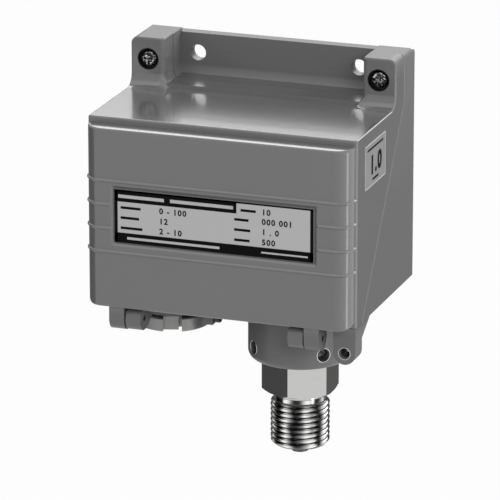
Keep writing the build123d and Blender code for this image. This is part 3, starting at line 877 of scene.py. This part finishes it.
@dataclass
class ThreadedConnection:
    """Process connection: the solid's hexagon, neck and bore, with a cut thread.

    Args:
        centre: X and Y of its axis, in millimetres.
        top: Z of the neck's upper end.
        bottom: Z of the thread's lower end.
        crest: Radius of the ridges.
        depth: How deep the roots lie below them.
        pitch: Distance of the ridges.
        crest_round: How broad and round the ridges are.
        neck_length: Length of the neck.
        neck: Radius of the neck.
        end: Radius at the chamfer of the lower end.
        edge: How far the thread's own mesh ends short of the solid's, at each end.
        around: Steps round the axis.
        per_pitch: Steps along each ridge and root.
        weld: Distance under which the thread's points are merged.
        solid_weld: The same for the solid's points.
        skin: How far inside its end radius the solid's cylinder is still taken off.
        skin_end: How far past its ends.
        seam: How far inside the end radius the edges of a seam lie.
        sharp: Angle of the edges that stay sharp, in degrees.
    """

    centre: tuple[float, float] = PROCESS_AXIS
    top: float = THREAD_TOP
    bottom: float = up(-54.3)
    crest: float = 10.4775
    depth: float = 1.05
    pitch: float = 1.92
    crest_round: float = 2.2
    neck_length: float = NECK_LENGTH
    neck: float = 9.2
    end: float = 9.1775
    edge: float = 0.12
    around: int = 96
    per_pitch: int = 16
    weld: float = 0.002
    solid_weld: float = 0.004
    skin: float = 0.05
    skin_end: float = 0.02
    seam: float = 0.2
    sharp: float = 22.0

    def radius(self, angle: float, height: float) -> float:
        """Radius of the thread's surface.

        Args:
            angle: Angle round the axis, in radians.
            height: Z in millimetres.

        Returns:
            The radius in millimetres.
        """
        phase = (height / self.pitch - angle / tau) % 1.0
        rise = abs(2.0 * phase - 1.0)
        cut = self.crest - self.depth * (1.0 - rise) ** self.crest_round
        run_in = self.neck + max(self.top - self.neck_length - height, 0.0)
        run_out = self.end + (height - self.bottom)
        return min(cut, max(run_in, self.crest - self.depth), run_out)

    def thread(self) -> bpy.types.Object:
        """Rolls the thread up from a flat grid.

        Returns:
            The thread, open at both ends.
        """
        rows = round((self.top - self.bottom) / self.pitch * self.per_pitch)
        only(None)
        bpy.ops.mesh.primitive_grid_add(x_subdivisions=self.around, y_subdivisions=rows, size=1.0)
        sheet = bpy.context.active_object
        low, high = self.bottom + self.edge, self.top - self.edge
        for point in sheet.data.vertices:
            angle = (point.co.x + 0.5) * tau
            height = low + (point.co.y + 0.5) * (high - low)
            reach = self.radius(angle, height)
            x = self.centre[0] + reach * cos(angle)
            y = self.centre[1] + reach * sin(angle)
            point.co = Vector((x, y, height)) * MM
        edit(sheet)
        bpy.ops.mesh.select_all(action="SELECT")
        bpy.ops.mesh.remove_doubles(threshold=self.weld * MM)
        bpy.ops.mesh.normals_make_consistent(inside=False)
        leave(sheet)
        return sheet

    def body(self) -> bpy.types.Object:
        """Copies the solid, without the cylinder that the thread takes the place of.

        Returns:
            The copy, merged and open where the thread joins it.
        """
        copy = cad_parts["process_connection"].copy()
        copy.data = copy.data.copy()
        for key in list(copy.keys()):
            if key.startswith("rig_"):
                del copy[key]
        copy.parent = None
        bpy.context.scene.collection.objects.link(copy)
        edit(copy)
        bpy.ops.mesh.select_all(action="SELECT")
        bpy.ops.mesh.customdata_custom_splitnormals_clear()
        bpy.ops.mesh.remove_doubles(threshold=self.solid_weld * MM)
        bpy.ops.mesh.select_all(action="DESELECT")
        live = bmesh.from_edit_mesh(copy.data)
        for face in live.faces:
            face.select_set(all(self._on_cylinder(point.co) for point in face.verts))
        bmesh.update_edit_mesh(copy.data)
        bpy.ops.mesh.delete(type="FACE")
        leave(copy)
        return copy

    def _reach(self, point: Vector) -> float:
        """Distance of a point from the axis, in millimetres."""
        return (point.xy / MM - Vector(self.centre)).length

    def _on_cylinder(self, point: Vector) -> bool:
        """Whether a point of the solid lies on the outside that the thread replaces.

        Args:
            point: The point, in metres.

        Returns:
            True where it does.
        """
        outside = self._reach(point) > self.end - self.skin
        return outside and self.bottom - self.skin_end < point.z / MM < self.top + self.skin_end

    def _on_seam(self, point: Vector, level: float) -> bool:
        """Whether a point lies where the thread and the solid are joined.

        Args:
            point: The point, in metres.
            level: Z of the seam, in millimetres.

        Returns:
            True where it does.
        """
        outside = self._reach(point) > self.end - self.seam
        return outside and abs(point.z / MM - level) < 2.0 * self.edge

    def build(self) -> None:
        """Joins the solid and the thread, and closes the two seams."""
        piece = merge([self.body(), self.thread()], "threaded_connection")
        for level in (self.top, self.bottom):
            live = edit(piece)
            for rim in live.edges:
                near = all(self._on_seam(point.co, level) for point in rim.verts)
                rim.select_set(rim.is_boundary and near)
            bmesh.update_edit_mesh(piece.data)
            bpy.ops.mesh.bridge_edge_loops()
            leave(piece)
        smooth(piece, self.sharp)
        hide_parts("process_connection")
        finish_piece(piece, "case", Finish.THREAD)


@dataclass
class Print:
    """Flat ink on a plate: bars and plain numbers, each a thin raised film.

    Args:
        name: Name of the printed piece.
        body: The body that the plate rides on.
        slot: Name of the plate's material slot; not used.
        film: Thickness of the ink, in millimetres.
        spacing: How far apart the digits stand, as a share of the font's own spacing.
        digit_share: Height of a digit, as a share of the font's size.
        curve_steps: Steps in each curve of a digit.
    """

    name: str
    body: str
    slot: str
    film: float = 0.03
    spacing: float = 1.2
    digit_share: float = 0.7
    curve_steps: int = 3

    def bar(
        self, left: float, right: float, low: float, high: float, front: float
    ) -> bpy.types.Object:
        """A bar on a plate that faces the front.

        Args:
            left: Its left end, X in millimetres.
            right: Its right end.
            low: Its lower edge, Z in millimetres.
            high: Its upper edge.
            front: Y of its face.

        Returns:
            The bar.
        """
        only(None)
        centre = ((left + right) / 2 * MM, (front + self.film / 2) * MM, (low + high) / 2 * MM)
        bpy.ops.mesh.primitive_cube_add(size=1.0, location=centre)
        made = bpy.context.active_object
        made.scale = ((right - left) * MM, self.film * MM, (high - low) * MM)
        return merge([made], self.name + "_bar")

    def numbers(
        self, text: str, left: float, low: float, tall: float, front: float, weight: float
    ) -> bpy.types.Object:
        """Plain numbers on a plate that faces the front.

        Args:
            text: The digits.
            left: X where they start, in millimetres.
            low: Z of their foot.
            tall: How tall they are.
            front: Y of their face.
            weight: How much bolder their strokes are, in millimetres a side.

        Returns:
            The numbers, as a mesh.
        """
        only(None)
        bpy.ops.object.text_add(location=(left * MM, (front + self.film / 2) * MM, low * MM))
        made = bpy.context.active_object
        made.data.body = text
        made.data.size = tall * MM / self.digit_share
        made.data.extrude = self.film / 2 * MM
        made.data.offset = weight * MM
        made.data.space_character = self.spacing
        made.data.resolution_u = self.curve_steps
        made.rotation_euler = (UPRIGHT, 0.0, 0.0)
        bpy.ops.object.convert(target="MESH")
        return merge([bpy.context.active_object], self.name + "_numbers")


@dataclass(frozen=True)
class Entry:
    """One entry of the nameplate: a bar, and plain numbers after it.

    Args:
        bar: X where the bar starts and ends, in millimetres.
        text: The numbers.
        start: X where they start.
        drop: How far their foot lies below the plate's upper edge.
    """

    bar: tuple[float, float]
    text: str
    start: float
    drop: float


@dataclass
class Nameplate(Print):
    """Print of the nameplate: border, title band, foot band, bars and plain numbers.

    Args:
        left: X of the plate's left edge, in millimetres.
        right: X of its right edge.
        low: Z of its lower edge.
        high: Z of its upper edge.
        face: Y of its face.
        border: Width of the dark border at both sides.
        head: Its width along the upper edge.
        title_end: X where the title band ends.
        title_height: Height of the title band.
        title_bars: Left and right end of each pale bar in the title band.
        title_bar: Height of those bars.
        title_rise: How far they stand above the middle of the band.
        foot_height: Height of the foot band.
        foot_bars: Left end, right end and height of each pale bar in the foot band.
        digits: Height of the digits.
        weight: How much bolder their strokes are.
        entry_bar: Lower and upper edge of an entry's bar, above its foot.
        entries: The entries.
    """

    name: str = "nameplate_print"
    body: str = "cover"
    slot: str = "plate"
    left: float = -37.25
    right: float = 35.25
    low: float = up(24.2)
    high: float = up(43.3)
    face: float = -69.3
    border: float = 1.15
    head: float = 0.6
    title_end: float = 7.4
    title_height: float = 4.3
    title_bars: tuple[tuple[float, float], ...] = ((-35.85, -19.0), (-16.8, 6.2))
    title_bar: float = 1.2
    title_rise: float = -0.2
    foot_height: float = 3.6
    foot_bars: tuple[tuple[float, float, float], ...] = ((-32.65, 1.2, 0.9), (16.4, 33.25, 0.6))
    digits: float = 2.0
    weight: float = 0.09
    entry_bar: tuple[float, float] = (0.45, 1.35)
    entries: tuple[Entry, ...] = (
        Entry((-35.0, -27.6), "0 - 100", -20.8, 7.3),
        Entry((-35.0, -28.2), "12", -20.8, 10.95),
        Entry((-35.0, -27.0), "2 - 10", -20.8, 14.6),
        Entry((8.9, 14.4), "10", 16.6, 3.85),
        Entry((6.6, 11.8), "000 001", 16.6, 7.3),
        Entry((6.6, 12.4), "1 . 0", 16.6, 10.95),
        Entry((6.6, 12.2), "500", 16.6, 14.6),
    )

    def dark(self) -> list[bpy.types.Object]:
        """Makes the dark bands, bars and numbers.

        Returns:
            All of them.
        """
        y = self.face - self.film
        made = [
            self.bar(self.left, self.right, self.low, self.low + self.foot_height, y),
            self.bar(self.left, self.right, self.high - self.head, self.high, y),
            self.bar(self.left, self.left + self.border, self.low, self.high, y),
            self.bar(self.right - self.border, self.right, self.low, self.high, y),
            self.bar(self.left, self.title_end, self.high - self.title_height, self.high, y),
        ]
        for entry in self.entries:
            foot = self.high - entry.drop
            low, high = (foot + rise for rise in self.entry_bar)
            number = self.numbers(entry.text, entry.start, foot, self.digits, y, self.weight)
            made += [self.bar(*entry.bar, low, high, y), number]
        return made

    def pale(self) -> list[bpy.types.Object]:
        """Makes the bars that are left bright in the bands.

        Returns:
            All of them.
        """
        y = self.face - 2 * self.film
        title = self.high - self.title_height / 2 + self.title_rise
        foot = self.low + self.foot_height / 2
        bars = [(left, right, self.title_bar / 2, title) for left, right in self.title_bars]
        bars += [(left, right, tall / 2, foot) for left, right, tall in self.foot_bars]
        return [
            self.bar(left, right, middle - half, middle + half, y)
            for left, right, half, middle in bars
        ]

    def build(self) -> None:
        """Builds both colours of the print."""
        finish_piece(merge(self.dark(), self.name), self.body, Finish.INK)
        finish_piece(merge(self.pale(), self.name + "_bright"), self.body, Finish.PLATE)


@dataclass
class SideLabel(Print):
    """Foil label on the right side of the cover: pale border, two bars and a plain number.

    It is laid out on a plate that faces the front, with Y of the part as X, and then turned.

    Args:
        face: X of the label's face, in millimetres.
        front: Y of its front edge.
        back: Y of its rear edge.
        low: Z of its lower edge.
        high: Z of its upper edge.
        rim: Width of the pale border.
        text: The number.
        digits: Height of the digits.
        text_start: How far in front of the label's middle the number starts.
        text_rise: How far its foot lies above the lower edge.
        weight: How much bolder its strokes are.
        upper_bar: Ends of the upper bar from the middle, and its drops from the upper edge.
        lower_bar: Ends of the lower bar from the middle, and its rises from the lower edge.
    """

    name: str = "side_label_print"
    body: str = "cover"
    slot: str = "label"
    face: float = 49.15
    front: float = -55.8
    back: float = -33.0
    low: float = up(47.1)
    high: float = up(62.7)
    rim: float = 0.35
    text: str = "1.0"
    digits: float = 6.2
    text_start: float = 5.6
    text_rise: float = 4.4
    weight: float = 0.42
    upper_bar: tuple[float, float, float, float] = (-8.6, 8.6, 2.5, 1.8)
    lower_bar: tuple[float, float, float, float] = (-3.0, 3.6, 1.7, 2.5)

    def _turned(self, piece: bpy.types.Object) -> bpy.types.Object:
        """Turns a piece made on a front-facing plate round to face the right.

        Args:
            piece: The piece.

        Returns:
            The same piece.
        """
        for point in piece.data.vertices:
            x, y, z = point.co
            point.co = Vector((self.face * MM - y, x, z))
        return piece

    def border(self) -> list[bpy.types.Object]:
        """Makes the four strips of the border.

        Returns:
            All of them.
        """
        y = -self.film
        return [
            self.bar(self.front, self.back, self.high - self.rim, self.high, y),
            self.bar(self.front, self.back, self.low, self.low + self.rim, y),
            self.bar(self.front, self.front + self.rim, self.low, self.high, y),
            self.bar(self.back - self.rim, self.back, self.low, self.high, y),
        ]

    def ink(self) -> list[bpy.types.Object]:
        """Makes the number and the two bars.

        Returns:
            All of them.
        """
        y = -self.film
        middle = (self.front + self.back) / 2
        start, stop, low_drop, high_drop = self.upper_bar
        upper = (middle + start, middle + stop, self.high - low_drop, self.high - high_drop)
        start, stop, low_rise, high_rise = self.lower_bar
        lower = (middle + start, middle + stop, self.low + low_rise, self.low + high_rise)
        left, foot = middle - self.text_start, self.low + self.text_rise
        number = self.numbers(self.text, left, foot, self.digits, y, self.weight)
        return [number, self.bar(*upper, y), self.bar(*lower, y)]

    def build(self) -> None:
        """Builds the border and the print."""
        border = self._turned(merge(self.border(), "side_label_border"))
        finish_piece(border, self.body, Finish.FOIL_EDGE)
        printed = self._turned(merge(self.ink(), self.name))
        finish_piece(printed, self.body, Finish.INK)


@dataclass(frozen=True)
class Ring:
    """A round wire ring.

    Args:
        centre: Its centre, in millimetres.
        radius: Radius of its centre line.
        thick: Radius of its section.
        turn: Which way its axis points, in degrees from the front towards the right.
        around: Steps round the ring.
        section: Steps round its section.
    """

    centre: Point
    radius: float
    thick: float
    turn: float = 0.0
    around: int = 56
    section: int = 14

    def build(self) -> bpy.types.Object:
        """Adds the ring.

        Returns:
            The ring.
        """
        only(None)
        bpy.ops.mesh.primitive_torus_add(
            location=tuple(part * MM for part in self.centre),
            rotation=(UPRIGHT, 0.0, radians(self.turn)),
            major_segments=self.around,
            minor_segments=self.section,
            major_radius=self.radius * MM,
            minor_radius=self.thick * MM,
        )
        return bpy.context.active_object


@dataclass
class Fittings:
    """Small turned parts at the openings: captive cups, bare hole rims, the tapped earth hole.

    Args:
        screw_x: X of the cover screws to each side, in millimetres.
        screw_z: Z of the cover screws.
        ear_face: Y of the ears' faces.
        cup_radius: Inner radius of a screw's cup.
        cup_depth: Its depth.
        cup_wall: Its wall.
        cup_sink: How far its edge lies under the ear's face.
        cup_around: Steps round it.
        washer_radius: Radius of the round bead in its bottom.
        washer_thick: Radius of that bead's section.
        washer_rise: How far the bead stands off the bottom.
        boss: X and Y of the boss's axis.
        boss_radius: Distance of the set screws' rims from that axis.
        set_screw_turn: Where the set screws stand to each side, in degrees from the front.
        set_screw_z: Z of the set screws.
        set_rim_radius: Radius of a set screw's rim.
        set_rim_thick: Radius of its section.
        lug: X and Z of the earth hole.
        lug_face: Y of the lug's face.
        lug_rim_radius: Radius of the earth hole's rim.
        lug_rim_thick: Radius of its section.
        lug_rim_sink: How far it lies under the lug's face.
        tap_start: How far behind the face the hole's thread starts.
        tap_pitch: Distance of its turns.
        tap_turns: How many turns it has.
        tap_radius: Radius of a turn.
        tap_thick: Radius of its section.
        slot: Name of a material slot for all of them; not used.
    """

    screw_x: float = 42.6
    screw_z: float = up(76.9)
    ear_face: float = -21.3
    cup_radius: float = 3.92
    cup_depth: float = 2.9
    cup_wall: float = 0.2
    cup_sink: float = 0.05
    cup_around: int = 56
    washer_radius: float = 3.45
    washer_thick: float = 0.42
    washer_rise: float = 0.3
    boss: tuple[float, float] = PROCESS_AXIS
    boss_radius: float = 18.2
    set_screw_turn: float = 45.0
    set_screw_z: float = up(-16.6)
    set_rim_radius: float = 2.5
    set_rim_thick: float = 0.17
    lug: tuple[float, float] = (44.4, up(-9.6))
    lug_face: float = -62.8
    lug_rim_radius: float = 2.15
    lug_rim_thick: float = 0.15
    lug_rim_sink: float = 0.05
    tap_start: float = 1.3
    tap_pitch: float = 0.5
    tap_turns: int = 11
    tap_radius: float = 1.64
    tap_thick: float = 0.2
    slot: str = "dark_screw"

    def _finish(
        self, parts: Sequence[bpy.types.Object], name: str, body: str, finish: Finish
    ) -> None:
        """Joins, smooths and dresses one fitting.

        Args:
            parts: The meshes that it is made of.
            name: Its name.
            body: The body that it rides on.
            finish: What it is dressed in.
        """
        piece = merge(parts, name)
        smooth(piece)
        finish_piece(piece, body, finish)

    def cup(self, side: int) -> None:
        """Adds the dark captive cup round a cover screw's head.

        Args:
            side: -1 for the left ear, 1 for the right one.
        """
        only(None)
        x = side * self.screw_x
        middle = self.ear_face + self.cup_depth / 2 + self.cup_sink
        bpy.ops.mesh.primitive_cylinder_add(
            vertices=self.cup_around,
            radius=self.cup_radius * MM,
            depth=self.cup_depth * MM,
            end_fill_type="NOTHING",
            location=(x * MM, middle * MM, self.screw_z * MM),
            rotation=(UPRIGHT, 0.0, 0.0),
        )
        wall = bpy.context.active_object
        skin = wall.modifiers.new("wall", "SOLIDIFY")
        skin.thickness = self.cup_wall * MM
        only(wall)
        bpy.ops.object.modifier_apply(modifier="wall")
        bottom = self.ear_face + self.cup_depth - self.washer_rise
        washer = Ring((x, bottom, self.screw_z), self.washer_radius, self.washer_thick)
        name = "cover_screw_cup_" + SIDE_NAMES[side]
        self._finish([wall, washer.build()], name, "cover", Finish.BLACKED)

    def rim(self, side: int) -> None:
        """Adds the bare rim of a set screw's hole in the boss.

        Args:
            side: -1 for the left screw, 1 for the right one.
        """
        degrees = side * self.set_screw_turn
        turn = radians(degrees)
        x = self.boss[0] + self.boss_radius * sin(turn)
        y = self.boss[1] - self.boss_radius * cos(turn)
        centre = (x, y, self.set_screw_z)
        ring = Ring(centre, self.set_rim_radius, self.set_rim_thick, degrees)
        name = "set_screw_rim_" + SIDE_NAMES[side]
        self._finish([ring.build()], name, "case", Finish.SOCKET)

    def earth_hole(self) -> None:
        """Adds the bare countersink and the thread of the earth lug's hole."""
        x, z = self.lug
        centre = (x, self.lug_face + self.lug_rim_sink, z)
        rim = Ring(centre, self.lug_rim_radius, self.lug_rim_thick)
        self._finish([rim.build()], "earth_hole_rim", "case", Finish.SOCKET)
        start = self.lug_face + self.tap_start
        turns = [
            Ring((x, start + place * self.tap_pitch, z), self.tap_radius, self.tap_thick)
            for place in range(self.tap_turns)
        ]
        meshes = [turn.build() for turn in turns]
        self._finish(meshes, "earth_hole_thread", "case", Finish.BLACKED)

    def build(self) -> None:
        """Adds them all."""
        for side in SIDE_NAMES:
            self.cup(side)
            self.rim(side)
        self.earth_hole()


@dataclass(frozen=True)
class Lamp:
    """A soft box.

    Args:
        name: Its name.
        place: Its centre, in metres.
        size: Its width and height, in metres.
        power: What it gives, in watts.
        mirrored: Whether glossy surfaces show it.
        target: The point that it faces, in metres.
    """

    name: str
    place: Point
    size: tuple[float, float]
    power: float
    mirrored: bool = True
    target: Point = (0.0, -0.034, -0.03)

    def build(self) -> None:
        """Adds the lamp, out of the camera's sight."""
        data = bpy.data.lights.new(self.name, "AREA")
        data.shape = "RECTANGLE"
        data.size, data.size_y = self.size
        data.energy = self.power
        made = bpy.data.objects.new(self.name, data)
        aim(made, self.place, self.target)
        made.visible_camera = False
        made.visible_glossy = self.mirrored


@dataclass(frozen=True)
class Flag:
    """A card that only reflections see, standing upright round the part.

    Args:
        name: Its name.
        azimuth: Where it stands, in degrees from the front towards the right.
        spread: Half its width, in degrees.
        tone: How bright it looks.
        distance: How far it stands from the part's upright axis, in metres.
        low: Z of its lower edge.
        high: Z of its upper edge.
    """

    name: str
    azimuth: float
    spread: float
    tone: float
    distance: float = 0.8
    low: float = -0.6
    high: float = 0.12

    def _foot(self, azimuth: float) -> tuple[float, float]:
        """X and Y of the card at an azimuth."""
        turn = radians(azimuth)
        return self.distance * sin(turn), -self.distance * cos(turn)

    def build(self) -> None:
        """Adds the card as part of the stage."""
        only(None)
        bpy.ops.mesh.primitive_plane_add(size=1.0)
        card = bpy.context.active_object
        sides = [self._foot(self.azimuth + turn * self.spread) for turn in (-1, 1)]
        corners = [(*side, level) for level in (self.low, self.high) for side in sides]
        for point, corner in zip(card.data.vertices, corners):
            point.co = corner
        card.name = self.name
        made = Finisher(self.name)
        made.show(made.glow(grey(self.tone)))
        card.data.materials.append(made.material)
        card.visible_camera = False
        card.visible_diffuse = False
        card.visible_shadow = False
        card.visible_transmission = False


@dataclass
class Studio:
    """White room, soft boxes, floor and camera.

    Args:
        floor_level: Z of the floor, in metres.
        floor_size: Length of its sides.
        floor_tone: Its grey.
        floor_roughness: Its roughness.
        floor_glow: How much of it shines by itself, where it is looked at.
        room_light: Strength of the even light on the part.
        camera_place: Where the camera stands.
        camera_target: The point that it faces.
        sensor: Width of its sensor, in millimetres.
        lens: Its focal length.
        lamps: The soft boxes.
        flags: The cards.
    """

    floor_level: float = -1.1
    floor_size: float = 12.0
    floor_tone: float = 0.8
    floor_roughness: float = 0.9
    floor_glow: float = 0.97
    room_light: float = 0.46
    camera_place: Point = (0.5323, -1.5451, 0.4467)
    camera_target: Point = (-0.0008, -0.0320, -0.0621)
    sensor: float = 36.0
    lens: float = 345.0
    lamps: tuple[Lamp, ...] = (
        Lamp("key_box", (1.0, -1.4, 0.75), (0.7, 0.7), 19.5, False),
        Lamp("back_box", (-0.1, 1.3, 0.78), (1.9, 0.66), 9.2),
        Lamp("overhead_box", (-0.38, -0.36, 1.15), (1.5, 0.6), 1.6),
        Lamp("right_box", (1.45, 0.3, 0.5), (0.9, 1.1), 27.0, False),
        Lamp("edge_box", (1.35, -0.35, -0.5), (0.3, 0.7), 1.8),
        Lamp("fill_box", (-1.4, -0.9, 0.5), (0.6, 0.9), 5.0, False),
    )
    flags: tuple[Flag, ...] = (
        Flag("left_flag", -84.0, 26.0, 0.09),
        Flag("back_flag", 160.0, 24.0, 0.14),
        Flag("rear_left_flag", -135.0, 24.0, 0.14),
    )

    def _seen(self, tree: bpy.types.NodeTree) -> Number:
        """Tells rays that show a thing from rays that light one.

        Args:
            tree: The node tree.

        Returns:
            1 for rays from the camera and those that metal and glass send on, else 0.
        """
        path = tree.nodes.new("ShaderNodeLightPath")
        seen, glossy, clear = (
            Number(tree, path.outputs[key])
            for key in ("Is Camera Ray", "Is Glossy Ray", "Is Transmission Ray")
        )
        return seen.most(glossy).most(clear)

    def room(self) -> None:
        """Makes the world: white to look at, and an even light on the part."""
        world = bpy.data.worlds.new("white_room")
        bpy.context.scene.world = world
        world.use_nodes = True
        tree = world.node_tree
        backdrop = tree.nodes["Background"]
        backdrop.inputs["Color"].default_value = (*grey(1.0), 1.0)
        strength = self.room_light + self._seen(tree) * (1.0 - self.room_light)
        tree.links.new(strength.socket, backdrop.inputs["Strength"])

    def floor(self) -> None:
        """Adds a pale floor, well below the part, which hangs on its wall."""
        only(None)
        place = (0.0, 0.0, self.floor_level)
        bpy.ops.mesh.primitive_plane_add(size=self.floor_size, location=place)
        ground = bpy.context.active_object
        ground.name = "floor"
        made = Finisher("floor_paper")
        made.set(Base_Color=grey(self.floor_tone), Roughness=self.floor_roughness)
        share = self._seen(made.tree) * self.floor_glow
        surfaces = {0: share, 1: made.shader.outputs[0], 2: made.glow(grey(1.0))}
        made.show(made.node("ShaderNodeMixShader", values=surfaces).outputs[0])
        ground.data.materials.append(made.material)

    def camera(self) -> None:
        """Adds the camera at the photograph's angle."""
        data = bpy.data.cameras.new("camera")
        data.sensor_width = self.sensor
        data.lens = self.lens
        made = bpy.data.objects.new("camera", data)
        aim(made, self.camera_place, self.camera_target)
        bpy.context.scene.camera = made

    def build(self) -> None:
        """Sets up the whole studio."""
        bpy.context.scene.view_settings.view_transform = "Standard"
        self.camera()
        self.room()
        self.floor()
        for part in (*self.lamps, *self.flags):
            part.build()
            LOG.info("studio %s", part.name)


def main() -> None:
    """Builds the studio and every sub-assembly in order."""
    logging.basicConfig(level=logging.INFO, format="%(name)s: %(message)s")
    parts: tuple[tuple[str, Callable[[], None]], ...] = (
        ("studio", Studio().build),
        ("housing", Housing().build),
        ("threaded connection", ThreadedConnection().build),
        ("nameplate", Nameplate().build),
        ("side label", SideLabel().build),
        ("fittings", Fittings().build),
    )
    for name, build in parts:
        build()
        LOG.info("built %s", name)


if __name__ == "__main__":
    main()
